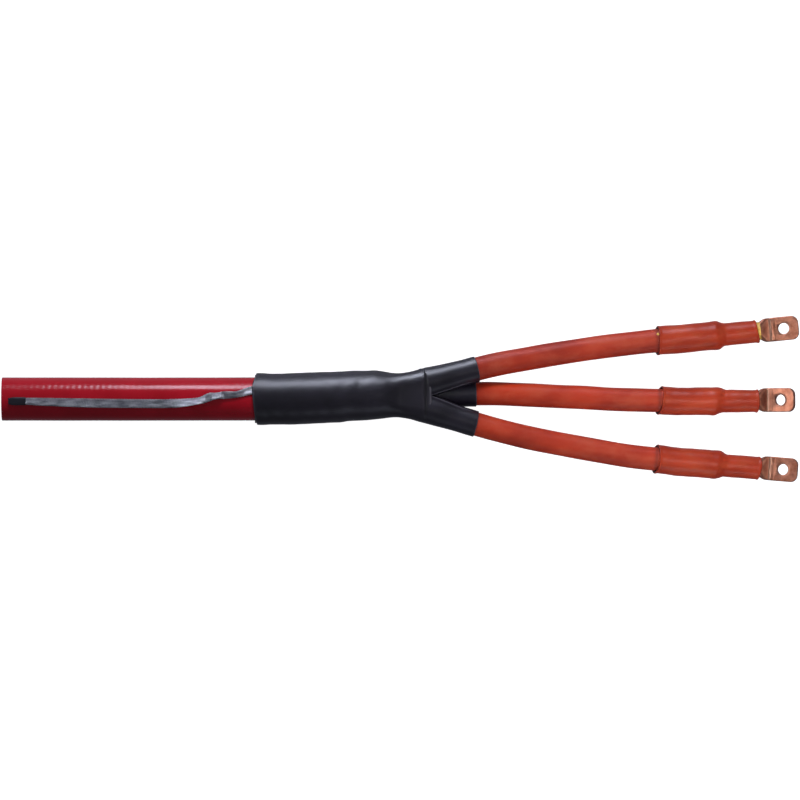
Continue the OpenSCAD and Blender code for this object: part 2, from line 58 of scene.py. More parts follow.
# Cable: its cut end, its axis and its radii
SHEATH_LOW = node_box("outer_sheath")[0]
BOOT_LOW, BOOT_HIGH = node_box("breakout_boot")
CUT_X = SHEATH_LOW[0]
CABLE_LEN = BOOT_LOW[0] - CUT_X
AXIS_Z = BOOT_HIGH[2] / 2
SHEATH_R = AXIS_Z - SHEATH_LOW[2]
SHEATH_T = 1.8
# The boot's body rests on the surface, so its radius is the height of the axis
BODY_R = AXIS_Z

# Radii on a core: its tube, a finger of the boot, the boot's neck round it, and the sleeve at its end
TUBE_R = 11.75
FINGER_R = 13.1
NECK_R = 13.5
SLEEVE_R = 14.4
# Cores: their seats in the cable (across, up from the axis) and the bends of their paths
SEATS = np.array([[9.05, 5.225], [0.0, -10.45], [-9.05, 5.225]])
RISE = {"at": CABLE_LEN + 18, "turn": 2.6, "r": 1100, "end_r": 450}
FAN_AT = CABLE_LEN + 136
LEAD_RUN = 4
# For each core, three bends: degrees to the left, bend radius, and the straight run after the bend
FAN_TURNS = [[16, -5.6, -4.6], [1.8, -4.6, 3], [-18.8, 8.3, 5.6]]
FAN_RADII = [[150, 420, 1400], [700, 1100, 600], [130, 800, 400]]
FAN_RUNS = [[40, 31, 62], [24, 98, 57], [18, 52, 62]]
# How far each sleeve reaches back from the end of its path; where fingers begin and end, and tubes begin
SLEEVE_BACK = [59, 54, 60]
CROTCH_AT = CABLE_LEN + 172
FINGER_ENDS = [CROTCH_AT + 54, CROTCH_AT + 51, CROTCH_AT + 54]
TUBE_FROM = [466, 454, 445]


def unit(v):
    """Vectors brought to length one."""
    return v / np.linalg.norm(v, axis=-1, keepdims=True)


def smooth(t):
    """Rises from 0 to 1 with flat ends."""
    t = np.clip(t, 0, 1)
    return t * t * (3 - 2 * t)


def mix(a, b, t):
    """Goes from a to b as t goes from 0 to 1."""
    return a + (b - a) * t


def rounded_max(a, b, r):
    """The greater of two values, with the corner between them rounded."""
    return (a + b + np.sqrt((a - b) ** 2 + r * r)) / 2


def hump(x, at, width):
    """A bell of height one round a place."""
    return np.exp(-((x - at) / width) ** 2)


class Path:
    """A centreline of legs (length, turn in degrees). The heading changes evenly over each leg and is summed
    in small steps; past roll_at the path lies in a plane rolled about X."""

    step = 0.25
    past_end = 60

    def __init__(self, legs, start, roll_at=0.0, roll=0.0):
        lengths, turns = np.array(legs, float).T
        knots = np.concatenate([[0], np.cumsum(lengths)])
        headings = np.concatenate([[0], np.cumsum(np.radians(turns))])
        self.end = knots[-1]
        self.s = np.arange(0, self.end + self.past_end, self.step)
        heading = np.interp((self.s[1:] + self.s[:-1]) / 2, knots, headings)
        x = np.concatenate([[0], np.cumsum(np.cos(heading))]) * self.step
        y = np.concatenate([[0], np.cumsum(np.sin(heading))]) * self.step
        held = np.interp(roll_at, self.s, y)
        free = np.where(self.s > roll_at, y - held, 0)
        flat = np.where(self.s > roll_at, held, y)
        self.points = np.array(start) + np.stack([x, flat + free * np.cos(roll), free * np.sin(roll)], axis=1)
        self.drift = free[min(len(free) - 1, int(self.end / self.step))]

    def place(self, s):
        """Points of the centreline at stations along it."""
        return np.stack([np.interp(s, self.s, self.points[:, i]) for i in range(3)], axis=-1)

    def frames(self, s):
        """Points, and the directions along, level across and up, at stations along the path."""
        reach = 1.0
        along = unit(self.place(s + reach) - self.place(s - reach))
        across = unit(np.cross([0, 0, 1], along))
        return self.place(s), along, across, np.cross(along, across)


def trunk_legs(side):
    """Legs of the cable or of a core beside its axis: straight, up a slight rise and level again."""
    arc = np.radians(RISE["turn"])
    run = FAN_AT - RISE["at"] - (RISE["r"] + RISE["end_r"]) * arc
    return [(RISE["at"], 0), ((RISE["r"] - side) * arc, RISE["turn"]), (run, 0),
            ((RISE["end_r"] + side) * arc, -RISE["turn"])]


def fan_legs(k):
    """Legs of a core past the cable: three bends with a straight run after each."""
    legs = [(LEAD_RUN, 0)]
    for turn, radius, run in zip(FAN_TURNS[k], FAN_RADII[k], FAN_RUNS[k]):
        legs += [(radius * abs(np.radians(turn)), turn), (run, 0)]
    return legs


def core_path(k):
    """A core's centreline; an outer core's fan is rolled so that its sleeve comes down to the surface."""
    across, up = SEATS[k]
    trunk = trunk_legs(across)
    start = [CUT_X, across, AXIS_Z + up]
    fan_from = sum(length for length, turn in trunk)
    level = Path(trunk + fan_legs(k), start, fan_from)
    roll = 0.0 if k == 1 else -np.arcsin((AXIS_Z + up - SLEEVE_R) / level.drift)
    return Path(trunk + fan_legs(k), start, fan_from, roll)


CABLE = Path(trunk_legs(0) + [(200, 0)], [CUT_X, 0, AXIS_Z])
CORE_PATHS = [core_path(k) for k in range(3)]


def swell(u, v, seed, waves=6):
    """Slow uneven swelling between about -1 and 1: a sum of waves along u, in millimetres, and whole turns
    of v."""
    rng = np.random.default_rng(seed)
    total = np.zeros(np.broadcast(u, v).shape)
    for _ in range(waves):
        pace, phase_u, phase_v = rng.uniform(0.02, 0.14), rng.uniform(0, TURN), rng.uniform(0, TURN)
        total = total + np.sin(pace * u + phase_u) * np.cos(rng.integers(0, 4) * v + phase_v)
    return total / np.sqrt(waves)


def around(n):
    """Angles of a closed ring, from level across towards up."""
    return np.arange(n) * TURN / n


def angle_from(angle, middle):
    """Angle away from a middle direction, between minus and plus half a turn."""
    return np.angle(np.exp(1j * (angle - middle)))


def boxed(wave, power):
    """A wave flattened towards its ends by a power below one, so that a circle becomes a rounded box."""
    return np.sign(wave) * np.abs(wave) ** power


def swept(frames, radii, angles):
    """Rings carried along a path: each point stands at its radius from the centreline, at its angle."""
    place, along, across, up = frames
    out = np.cos(angles)[None, :, None] * across[:, None] + np.sin(angles)[None, :, None] * up[:, None]
    return place[:, None] + np.asarray(radii)[..., None] * out


def grid(points, round_u=False, caps=False, u_values=None, painted_light=0.0):
    """Quads of a grid of rings, with the corners' UV (u along the grid, v round it) and the painted light at
    each point: below zero is painted shade, above zero is a painted highlight. The last ring may join the
    first, or both ends may close in a pole."""
    n, m = points.shape[:2]
    i, j = np.meshgrid(np.arange(n if round_u else n - 1), np.arange(m), indexing="ij")
    corners_i = np.stack([i, i, i + 1, i + 1], axis=-1).reshape(-1, 4)
    corners_j = np.stack([j, j + 1, j + 1, j], axis=-1).reshape(-1, 4)
    u = np.arange(n + 1) / n if u_values is None else np.append(u_values, u_values[-1])
    uv = np.stack([u[corners_i], corners_j / m], axis=-1)
    verts = points.reshape(-1, 3)
    painted_light = np.broadcast_to(painted_light, (n, m))
    faces = [(corners_i % n * m + corners_j % m, uv)]
    marks = painted_light.ravel()
    if caps:
        ring = np.arange(m)
        after = (ring + 1) % m
        poles = len(verts) + np.zeros(m, int)
        blank = np.zeros((m, 3, 2))
        last = (n - 1) * m
        faces.append((np.stack([poles, after, ring], axis=1), blank))
        faces.append((np.stack([poles + 1, last + ring, last + after], axis=1), blank))
        verts = np.concatenate([verts, points[[0, -1]].mean(axis=1)])
        marks = np.concatenate([marks, painted_light[[0, -1]].mean(axis=1)])
    return verts, faces, marks


def make_piece(name, grids, slot, replaced=()):
    """Joins grids of points in millimetres into one piece that rides on the part, in its slot's finish."""
    verts, corners, uvs, sizes, marks, base = [], [], [], [], [], 0
    for grid_verts, grid_faces, grid_marks in grids:
        verts.append(grid_verts)
        marks.append(grid_marks)
        for faces, uv in grid_faces:
            corners.append((faces + base).ravel())
            uvs.append(uv.reshape(-1, 2))
            sizes.append(np.full(len(faces), faces.shape[1]))
        base += len(grid_verts)
    verts, corners, uvs, sizes, marks = map(np.concatenate, (verts, corners, uvs, sizes, marks))
    mesh = bpy.data.meshes.new(name)
    mesh.vertices.add(len(verts))
    mesh.vertices.foreach_set("co", (verts * MM).astype(np.float32).ravel())
    mesh.loops.add(len(corners))
    mesh.loops.foreach_set("vertex_index", corners.astype(np.int32))
    mesh.polygons.add(len(sizes))
    mesh.polygons.foreach_set("loop_start", (np.cumsum(sizes) - sizes).astype(np.int32))
    mesh.polygons.foreach_set("use_smooth", np.ones(len(sizes), bool))
    mesh.uv_layers.new(name="run").data.foreach_set("uv", uvs.astype(np.float32).ravel())
    mesh.attributes.new("painted_light", "FLOAT", "POINT").data.foreach_set("value", marks.astype(np.float32))
    mesh.update(calc_edges=True)
    mesh.validate()
    mesh.materials.append(FINISHES[slot])
    piece = bpy.data.objects.new(name, mesh)
    bpy.context.scene.collection.objects.link(piece)
    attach(piece, "root")
    if replaced:
        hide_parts(*replaced)
    return piece


# Finishes

def tone(red, green, blue):
    """A colour given in display values from 0 to 255, as linear light."""
    c = np.array([red, green, blue]) / 255
    return (*np.where(c <= 0.04045, c / 12.92, ((c + 0.055) / 1.055) ** 2.4), 1.0)


def add_node(tree, kind, **values):
    """A shader node with some of its input sockets set by name."""
    node = tree.nodes.new(f"ShaderNode{kind}")
    for socket, value in values.items():
        node.inputs[socket.replace("_", " ")].default_value = value
    return node


def blend_towards(tree, colour, amount, tint):
    """Blends a colour towards a tint by an amount from 0 to 1, and gives the blended colour."""
    blend = tree.nodes.new("ShaderNodeMix")
    blend.data_type = "RGBA"
    factor, first, second, mixed = blend.inputs[0], blend.inputs[6], blend.inputs[7], blend.outputs[2]
    second.default_value = tint
    tree.links.new(amount, factor)
    tree.links.new(colour, first)
    return mixed


# Relief of a surface's grain and of a braid's wires, in metres
GRAIN_DEEP = 0.0002
WIRE_DEEP = 0.00012


def finish(name, dark, light, drift=40, stretch=(1, 1, 1), rough=(0.3, 0.45), grain=700, bump=0.15,
           film=None, painted_shade=None, painted_highlight=None, wires=0, **sockets):
    """A surface whose colour drifts between two tones with a soft noise, and whose finer noise sets the
    roughness and a slight relief. A film (tint, noise scale, share) lies on it in patches. Where the mesh's
    painted-light marks fall below zero, the colour goes towards a painted shade tone, and where they rise
    above zero, towards a painted highlight tone. With wires, fine ridges run along the piece. Further shader
    sockets are set by name."""
    material = bpy.data.materials.new(name)
    material.use_nodes = True
    tree = material.node_tree
    link = tree.links.new
    shader = tree.nodes["Principled BSDF"]
    place = tree.nodes.new("ShaderNodeTexCoord")
    mapping = add_node(tree, "Mapping", Scale=stretch)
    link(place.outputs["Object"], mapping.inputs["Vector"])
    patches = add_node(tree, "TexNoise", Scale=drift, Detail=4)
    fine = add_node(tree, "TexNoise", Scale=grain, Detail=3)
    for noise in (patches, fine):
        link(mapping.outputs["Vector"], noise.inputs["Vector"])
    ramp = tree.nodes.new("ShaderNodeValToRGB")
    for element, position, colour in zip(ramp.color_ramp.elements, (0.34, 0.66), (dark, light)):
        element.position = position
        element.color = colour
    link(patches.outputs["Fac"], ramp.inputs["Fac"])
    colour = ramp.outputs["Color"]
    if film:
        dust = add_node(tree, "TexNoise", Scale=film[1], Detail=6, Roughness=0.6)
        link(mapping.outputs["Vector"], dust.inputs["Vector"])
        cover = add_node(tree, "MapRange", From_Min=0.46, From_Max=0.68, To_Max=film[2])
        link(dust.outputs["Fac"], cover.inputs["Value"])
        colour = blend_towards(tree, colour, cover.outputs["Result"], film[0])
    # Painted shade where the mesh's marks are below zero, painted highlight where they are above zero
    for tint, end in ((painted_shade, -1.0), (painted_highlight, 1.0)):
        if tint is not None:
            painted_light_marks = tree.nodes.new("ShaderNodeAttribute")
            painted_light_marks.attribute_name = "painted_light"
            amount = add_node(tree, "MapRange", From_Max=end)
            link(painted_light_marks.outputs["Fac"], amount.inputs["Value"])
            colour = blend_towards(tree, colour, amount.outputs["Result"], tint)
    link(colour, shader.inputs["Base Color"])
    polish = add_node(tree, "MapRange", To_Min=rough[0], To_Max=rough[1])
    link(fine.outputs["Fac"], polish.inputs["Value"])
    link(polish.outputs["Result"], shader.inputs["Roughness"])
    relief = add_node(tree, "Bump", Strength=bump, Distance=GRAIN_DEEP)
    link(fine.outputs["Fac"], relief.inputs["Height"])
    if wires:
        ridges = add_node(tree, "TexWave", Scale=wires, Distortion=0.6, Detail=1)
        ridges.bands_direction = "Y"
        link(place.outputs["UV"], ridges.inputs["Vector"])
        strands = add_node(tree, "Bump", Strength=0.9, Distance=WIRE_DEEP)
        link(ridges.outputs["Fac"], strands.inputs["Height"])
        link(strands.outputs["Normal"], relief.inputs["Normal"])
    link(relief.outputs["Normal"], shader.inputs["Normal"])
    for socket, value in sockets.items():
        shader.inputs[socket.replace("_", " ")].default_value = value
    return material


# The darker tint that a finish takes for the mesh's marks is painted shade; the bright tint of the boot and
# the lugs is a painted highlight
FINISHES = {
    "sheath_red": finish(
        "sheath_pvc", tone(168, 10, 28), tone(180, 14, 34), rough=(0.14, 0.22), bump=0.05,
        painted_shade=tone(90, 8, 16), Specular_IOR_Level=0.3),
    "filler_yarn": finish(
        "filler_yarn", tone(150, 140, 118), tone(206, 198, 178), drift=500, rough=(0.8, 0.95), bump=0.6),
    "tinned_braid": finish(
        "tinned_copper", tone(146, 148, 154), tone(226, 227, 230), drift=320, stretch=(0.25, 1, 1),
        rough=(0.3, 0.42), wires=3.2, painted_shade=tone(60, 62, 68), Metallic=0.9),
    "shrink_black": finish(
        "end_shrink", tone(18, 17, 24), tone(32, 30, 40), rough=(0.4, 0.55)),
    "spring_steel": finish(
        "spring_steel", tone(150, 152, 156), tone(196, 198, 202), rough=(0.2, 0.35), Metallic=1.0),
    "mastic_black": finish(
        "seal_mastic", tone(24, 23, 24), tone(44, 42, 44), rough=(0.5, 0.7), bump=0.4),
    "mastic_yellow": finish(
        "yellow_mastic", tone(196, 150, 60), tone(232, 190, 92), drift=300, rough=(0.3, 0.45), bump=0.4),
    "boot_black": finish(
        "boot_polymer", tone(17, 14, 22), tone(29, 25, 36), drift=30, rough=(0.32, 0.44), bump=0.08,
        painted_shade=tone(10, 9, 12), painted_highlight=tone(92, 90, 100), Specular_IOR_Level=0.48),
    "copper_wire": finish(
        "bare_copper", tone(166, 96, 62), tone(204, 128, 88), drift=200, rough=(0.28, 0.42), Metallic=1.0),
    "screen_black": finish(
        "screen_compound", tone(22, 22, 24), tone(36, 36, 40), rough=(0.55, 0.7)),
    "insulation_white": finish(
        "core_insulation", tone(222, 216, 200), tone(240, 236, 226), rough=(0.35, 0.5)),
    "copper_tape": finish(
        "copper_tape", tone(176, 104, 68), tone(206, 132, 92), drift=120, rough=(0.25, 0.4), Metallic=1.0),
    "tube_red": finish(
        "tracking_tube", tone(146, 41, 24), tone(190, 57, 28), drift=30, stretch=(0.6, 1, 1),
        rough=(0.42, 0.56), grain=420, bump=0.14, film=(tone(164, 88, 64), 60, 0.28),
        painted_shade=tone(100, 40, 32), Specular_IOR_Level=0.2),
    "lug_copper": finish(
        "lug_copper", tone(182, 112, 86), tone(216, 146, 118), drift=160, rough=(0.3, 0.46), grain=1300,
        bump=0.1, film=(tone(150, 100, 84), 220, 0.5), painted_shade=tone(112, 76, 64),
        painted_highlight=tone(255, 196, 164), Metallic=1.0),
    "sleeve_brick": finish(
        "sleeve_brick", tone(150, 47, 27), tone(176, 60, 35), drift=46, stretch=(0.6, 1, 1),
        rough=(0.26, 0.38), bump=0.1, film=(tone(178, 92, 58), 90, 0.22), painted_shade=tone(86, 32, 28),
        Specular_IOR_Level=0.17),
}
NODE_SLOTS = {
    "outer_sheath": "sheath_red", "core_filler": "filler_yarn", "earth_braid": "tinned_braid",
    "braid_end_sleeve": "shrink_black", "braid_root": "tinned_braid", "roll_spring": "spring_steel",
    "sheath_mastic": "mastic_black", "crotch_mastic": "mastic_yellow", "breakout_boot": "boot_black",
}
CORE_SLOTS = {
    "conductor": "copper_wire", "conductor_screen": "screen_black", "insulation": "insulation_white",
    "insulation_screen": "screen_black", "copper_tape": "copper_tape", "stress_mastic": "mastic_yellow",
    "stress_tube": "shrink_black", "outer_tube": "tube_red", "lug": "lug_copper",
    "lug_mastic": "mastic_yellow", "lug_sleeve": "sleeve_brick",
}
NODE_SLOTS.update({f"{core}_{piece}": slot for core in CORES for piece, slot in CORE_SLOTS.items()})


def dress_nodes():
    """Every node of the frame takes the finish of its own material slot."""
    for node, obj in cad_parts.items():
        obj.data.materials.clear()
        obj.data.materials.append(FINISHES[NODE_SLOTS[node]])


dress_nodes()


# Stage: floor, light and camera

WHITE = (1.0, 1.0, 1.0)
DAYLIGHT = (0.8, 0.84, 1.0)


def look_at(obj, place, target):
    """Stands an object at a place with its -Z towards a target."""
    obj.location = place
    obj.rotation_euler = (Vector(target) - Vector(place)).to_track_quat("-Z", "Y").to_euler()


def area_light(name, place, target, size, power, spread=180, tint=WHITE, diffuse=True, glossy=True):
    """A rectangular light of a spread in degrees, which may leave out the soft shading or the reflections."""
    light = bpy.data.lights.new(name, "AREA")
    light.shape = "RECTANGLE"
    light.size, light.size_y = size
    light.energy = power
    light.spread = np.radians(spread)
    light.color = tint
    obj = bpy.data.objects.new(name, light)
    bpy.context.scene.collection.objects.link(obj)
    look_at(obj, place, target)
    obj.visible_camera = False
    obj.visible_diffuse = diffuse
    obj.visible_glossy = glossy


def white_floor(reach=6.0, below=0.0003):
    """A flat pale floor just under the part; the part doesn't mirror it."""
    mesh = bpy.data.meshes.new("floor")
    mesh.from_pydata([(-reach, -reach, -below), (reach, -reach, -below), (reach, reach, -below),
                      (-reach, reach, -below)], [], [(0, 1, 2, 3)])
    paint = bpy.data.materials.new("floor_white")
    paint.use_nodes = True
    shader = paint.node_tree.nodes["Principled BSDF"]
    shader.inputs["Base Color"].default_value = (0.5, 0.5, 0.5, 1)
    shader.inputs["Roughness"].default_value = 0.9
    shader.inputs["Emission Color"].default_value = (1, 1, 1, 1)
    shader.inputs["Emission Strength"].default_value = 0.95
    mesh.materials.append(paint)
    floor = bpy.data.objects.new("floor", mesh)
    bpy.context.scene.collection.objects.link(floor)
    floor.visible_glossy = False
    floor.visible_diffuse = False


def studio_sky():
    """A soft sky: above the horizon brighter towards the window side and the cable's end; below it the glow
    of the pale floor, brighter on the window side."""
    world = bpy.data.worlds.new("studio")
    world.use_nodes = True
    tree = world.node_tree
    link = tree.links.new
    direction = tree.nodes.new("ShaderNodeTexCoord")
    axes = tree.nodes.new("ShaderNodeSeparateXYZ")
    link(direction.outputs["Generated"], axes.inputs["Vector"])
    across = add_node(tree, "MapRange", From_Min=-1.0, From_Max=1.0, To_Min=0.03, To_Max=0.2)
    along = add_node(tree, "MapRange", From_Min=-1.0, From_Max=1.0, To_Min=0.18, To_Max=0.02)
    floor_glow = add_node(tree, "MapRange", From_Min=-1.0, From_Max=1.0, To_Min=0.12, To_Max=0.44)
    below = add_node(tree, "MapRange", From_Min=0.05, From_Max=-0.15)
    for node, axis in ((across, "Y"), (along, "X"), (floor_glow, "Y"), (below, "Z")):
        link(axes.outputs[axis], node.inputs["Value"])
    above = tree.nodes.new("ShaderNodeMath")
    above.operation = "ADD"
    link(across.outputs["Result"], above.inputs[0])
    link(along.outputs["Result"], above.inputs[1])
    whole = tree.nodes.new("ShaderNodeMix")
    factor, first, second, mixed = whole.inputs[0], whole.inputs[2], whole.inputs[3], whole.outputs[0]
    link(below.outputs["Result"], factor)
    link(above.outputs["Value"], first)
    link(floor_glow.outputs["Result"], second)
    link(mixed, tree.nodes["Background"].inputs["Strength"])
    tree.nodes["Background"].inputs["Color"].default_value = (*DAYLIGHT, 1)
    bpy.context.scene.world = world


# Camera: its height in metres, the width of its frame, and the margin left of the cut end, in millimetres
CAMERA_HEIGHT = 9.0
FRAME_MM = 800
MARGIN_MM = 2


def overhead_camera():
    """A camera straight above the part, whose frame is as wide at the cable's axis as the photograph's."""
    data = bpy.data.cameras.new("camera")
    data.sensor_width = 36
    data.lens = data.sensor_width * (CAMERA_HEIGHT - AXIS_Z * MM) / (FRAME_MM * MM)
    data.clip_end = 50
    camera = bpy.data.objects.new("camera", data)
    bpy.context.scene.collection.objects.link(camera)
    camera.location = ((CUT_X + FRAME_MM / 2 - MARGIN_MM) * MM, -0.001, CAMERA_HEIGHT)
    bpy.context.scene.camera = camera


white_floor()
studio_sky()
# Reflections: daylight along the sheath, the boot, its neck and the tubes, and a reflector on the right side
area_light("sheath_window", (-0.23, 1.5, 0.66), (-0.23, 0, 0.02), (0.2, 0.58), 7, tint=DAYLIGHT,
           diffuse=False)
area_light("boot_window", (-0.01, 1.6, 0.2), (-0.01, 0, 0.02), (0.14, 0.34), 2.9, tint=DAYLIGHT,
           diffuse=False)
area_light("tube_window", (0.155, 1.5, 0.58), (0.155, 0, 0.02), (0.19, 0.68), 9, tint=DAYLIGHT,
           diffuse=False)
area_light("neck_window", (-0.52, 1.45, 0.34), (0.02, 0.02, 0.03), (0.4, 0.4), 0.5, 22, tint=DAYLIGHT,
           diffuse=False)
area_light("reflector", (0.42, -1.2, 0.5), (0.2, 0, 0.02), (1.0, 0.5), 1.5, tint=DAYLIGHT, diffuse=False)
# Soft shading: from the window side, and two fills over the tubes and sleeves
area_light("window_fill", (-0.1, 1.55, 1.1), (-0.1, 0, 0.02), (0.9, 0.35), 21, glossy=False)
area_light("tube_fill", (0.36, -0.9, 0.35), (0.36, 0, 0.02), (0.4, 0.3), 0.22, 40, glossy=False)
area_light("ceiling", (0.37, -0.05, 0.9), (0.37, -0.05, 0), (0.4, 0.4), 0.8, 76, glossy=False)
# Reflections in the copper of the lugs
area_light("lug_lamp", (0.33, 0.0, 1.2), (0.33, 0, 0), (0.3, 0.05), 0.035, 30, diffuse=False)
area_light("lug_card", (-0.36, 0.0, 0.69), (0.385, 0, 0.02), (0.5, 0.5), 0.12, 40, diffuse=False)
area_light("end_card", (1.2, 0.0, 0.22), (0.36, 0, 0.02), (0.8, 0.4), 0.16, 60, diffuse=False)
overhead_camera()
bpy.context.scene.view_settings.view_transform = "Standard"


# Earth braid

# Route of the free braid over the cable: distance from the cut end, across, above the cable's axis, tilt
BRAID_ROUTE = np.array([
    [24, -2.2, 22.6, -6], [30, -2.4, 22.6, -6], [45, -2.9, 22.6, -7], [62, -3.4, 22.5, -8],
    [80, -3.9, 22.4, -10], [98, -4.2, 22.4, -10], [115, -4.4, 22.4, -10], [132, -4.5, 22.4, -10],
    [150, -4.6, 22.4, -10], [165, -4.6, 22.4, -10], [178, -4.2, 22.5, -9], [188, -3.3, 22.6, -6],
    [198, -1.9, 22.8, 2], [203, -0.2, 22.9, 8], [208, 2.2, 22.9, 10], [214, 2.9, 22.8, 11],
    [220, 3.7, 22.6, 12], [227, 4.1, 22.4, 13], [233, 4.2, 22.2, 14], [238, 5.2, 21.9, 17],
    [244, 7.0, 21.4, 21], [251, 8.9, 20.6, 25]
])
BRAID_W = 9.0
BRAID_FROM, BRAID_TO = 22.5, 252
# Share of the braid's width where it is gathered: in its tail and in the twist before the boot
GATHER_AT = [22, 34, 80, 185, 200, 210, 217, 226, 236, 244, 251]
GATHER = [0.76, 0.84, 1, 0.98, 0.9, 0.96, 0.8, 0.86, 0.74, 0.86, 1]
# Twist of the braid in degrees: it turns its face to the light, then away, and lies flat again at the boot
TWIST_AT = [168, 180, 190, 200, 204, 208, 211, 219, 224, 236, 244, 250]
TWIST = [0, 34, 40, 34, -8, -10, 28, 22, -36, -42, -12, 0]
# Carriers each way, the length in which they go round once, and their half width, half height and weaving
CARRIERS = 12
LAY_LEN = 34
RIBBON_W = 0.74
RIBBON_T = 0.15
WEAVE = 0.12


def eased(x, knots, values, window):
    """Values between knots, with the corners rounded by an average over a few millimetres."""
    offsets = np.linspace(-window, window, 13)
    weights = 1 + np.cos(np.pi * offsets / window * 0.92)
    samples = np.interp(x[..., None] + offsets, knots, values)
    return (samples * weights).sum(axis=-1) / weights.sum()


def braid_course(x):
    """Across, height above the cable's axis, lean and half width of the braid. Where it twists it stands on
    its lower edge, so its middle rises by its half width times the sine of the twist."""
    side, height, tilt = [eased(x, BRAID_ROUTE[:, 0], BRAID_ROUTE[:, i], 5) for i in (1, 2, 3)]
    twist = eased(x, TWIST_AT, TWIST, 3)
    half_w = BRAID_W / 2 * eased(x, GATHER_AT, GATHER, 5) - 0.25
    rise = half_w * np.abs(np.sin(np.radians(twist)))
    return side, height + rise, np.radians(tilt + twist), half_w


def braid_point(x, turn, lift):
    """Point on the flattened sleeve of the braid, at a turn round it from its left edge over the top, and at
    a lift above that surface. Across, the turn runs evenly to and fro; up, it flips quickly between the two
    flats. The section leans by the course's lean."""
    side, height, lean, half_w = braid_course(x)
    flat_t, gathered_t, gathered = 0.42, 0.95, 0.45
    half_t = mix(flat_t, gathered_t, (1 - half_w / (BRAID_W / 2)) / gathered)
    even = 0.97
    swing = np.cos(TURN * turn)
    across = half_w * np.arcsin(even * swing) / np.arcsin(even) + 0.5 * lift * swing
    up = (half_t + lift) * np.tanh(3 * np.sin(TURN * turn))
    return np.stack([CUT_X + x, side + across * np.cos(lean) + up * np.sin(lean),
                     AXIS_Z + height - across * np.sin(lean) + up * np.cos(lean)], axis=-1)


def ribbon(index, way):
    """One carrier of the braid: it winds round the flattened sleeve, rising over one crossing carrier and
    diving under the next, as a flat strip with a slightly crowned section."""
    x = np.arange(BRAID_FROM, BRAID_TO, 0.45)
    turn = index / CARRIERS + way * x / LAY_LEN
    weave = np.cos(TURN * CARRIERS * x / LAY_LEN)
    lift = way * WEAVE * weave
    centre = braid_point(x, turn, lift)
    raised = braid_point(x, turn, lift + 0.3)
    along = unit(np.gradient(centre, axis=0))
    out = unit(raised - centre)
    out = unit(out - (out * along).sum(axis=1, keepdims=True) * along)
    side = np.cross(out, along)
    section = np.array([[1, 0], [0.5, 0.6], [-0.5, 0.6], [-1, 0], [0, -1]])
    points = centre[:, None] + section[None, :, :1] * RIBBON_W * side[:, None] \
        + section[None, :, 1:] * RIBBON_T * out[:, None]
    # Painted shade on each carrier where it dives under the crossing one
    painted_shade_marks = -0.5 * np.clip(-way * weave, 0, 1)[:, None]
    return grid(points, caps=True, u_values=x, painted_light=painted_shade_marks)


def tail_shrink():
    """The black sleeve on the braid's free end: a flat rounded section that thins to a pinched tip."""
    length, half_w, half_t, overlap, power = 17.5, 4.0, 1.75, 0.6, 0.7
    t = np.concatenate([[0.0, 0.01, 0.03], np.linspace(0.06, 1, 30)])
    angle = around(40)
    x = BRAID_ROUTE[0, 0] + overlap - t * length
    end = np.array([BRAID_ROUTE[0, 1], BRAID_ROUTE[0, 2] + half_t - 0.9])
    tilt = np.radians(BRAID_ROUTE[0, 3])
    edge = np.clip((1 - t) / 0.03, 0, 1) ** 0.5 * np.clip(t / 0.02 + 0.7, 0, 1)
    pinch = mix(1.0, 0.55, smooth((t - 0.55) / 0.35))
    wide = half_w * mix(1.0, 0.74, smooth((t - 0.72) / 0.28)) * mix(0.8, 1, edge)
    high = half_t * pinch * edge
    across = wide[:, None] * boxed(np.cos(angle), power)
    up = high[:, None] * boxed(np.sin(angle), power) - (half_t - high)[:, None] * 0.5
    points = np.stack([np.broadcast_to((CUT_X + x)[:, None], across.shape),
                       end[0] + across * np.cos(tilt) + up * np.sin(tilt),
                       AXIS_Z + end[1] - across * np.sin(tilt) + up * np.cos(tilt)], axis=-1)
    return grid(points[::-1], caps=True)


def earth_braid():
    """The woven braid, and the sleeve on its tail."""
    ribbons = [ribbon(index, way) for way in (1, -1) for index in range(CARRIERS)]
    braid = make_piece("braid_weave", ribbons, "tinned_braid", ["earth_braid"])
    tail = make_piece("braid_tail_shrink", [tail_shrink()], "shrink_black", ["braid_end_sleeve"])


earth_braid()


# Cable sheath

# Waves of the outside: height and run per radian with the lay of the cores, height and length with the tape
LAY_HIGH, LAY_RUN = 0.07, 70
RIPPLE_HIGH, RIPPLE_LEN = 0.02, 6


def sheath_shell():
    """A tube with a sawn end: its outside waves a little with the lay of the cores and ripples with the tape
    under it."""
    angle = around(128)
    # Rings within the square end share one direction, so that the sawn face is square
    under_boot, square_end = 60, 2.0
    outer = np.concatenate([[0.0, 0.15, 0.4], np.linspace(1, CABLE_LEN + under_boot, 420)])
    x = outer[:, None]
    lay = LAY_HIGH * np.sin(3 * angle - x / LAY_RUN) + 0.05 * swell(x, angle[None], 3)
    ripple = RIPPLE_HIGH * np.sin(TURN * x / RIPPLE_LEN + 3 * angle) * (1 + 0.5 * swell(x, angle[None], 5))
    rounding = np.zeros(len(outer))
    rounding[:3] = 0.35, 0.12, 0.02
    outer_r = SHEATH_R - rounding[:, None] + (lay + ripple) * smooth(outer / 3)[:, None]
    inner = np.linspace(outer[-1], 0, 20)
    inner_r = np.full((len(inner), len(angle)), SHEATH_R - SHEATH_T)
    stations = np.concatenate([outer, inner])
    frames = CABLE.frames(np.maximum(stations, square_end))
    place = frames[0] + np.stack([np.minimum(stations - square_end, 0), 0 * stations, 0 * stations], axis=1)
    points = swept((place, *frames[1:]), np.concatenate([outer_r, inner_r]), angle)
    return grid(points, round_u=True, u_values=stations)


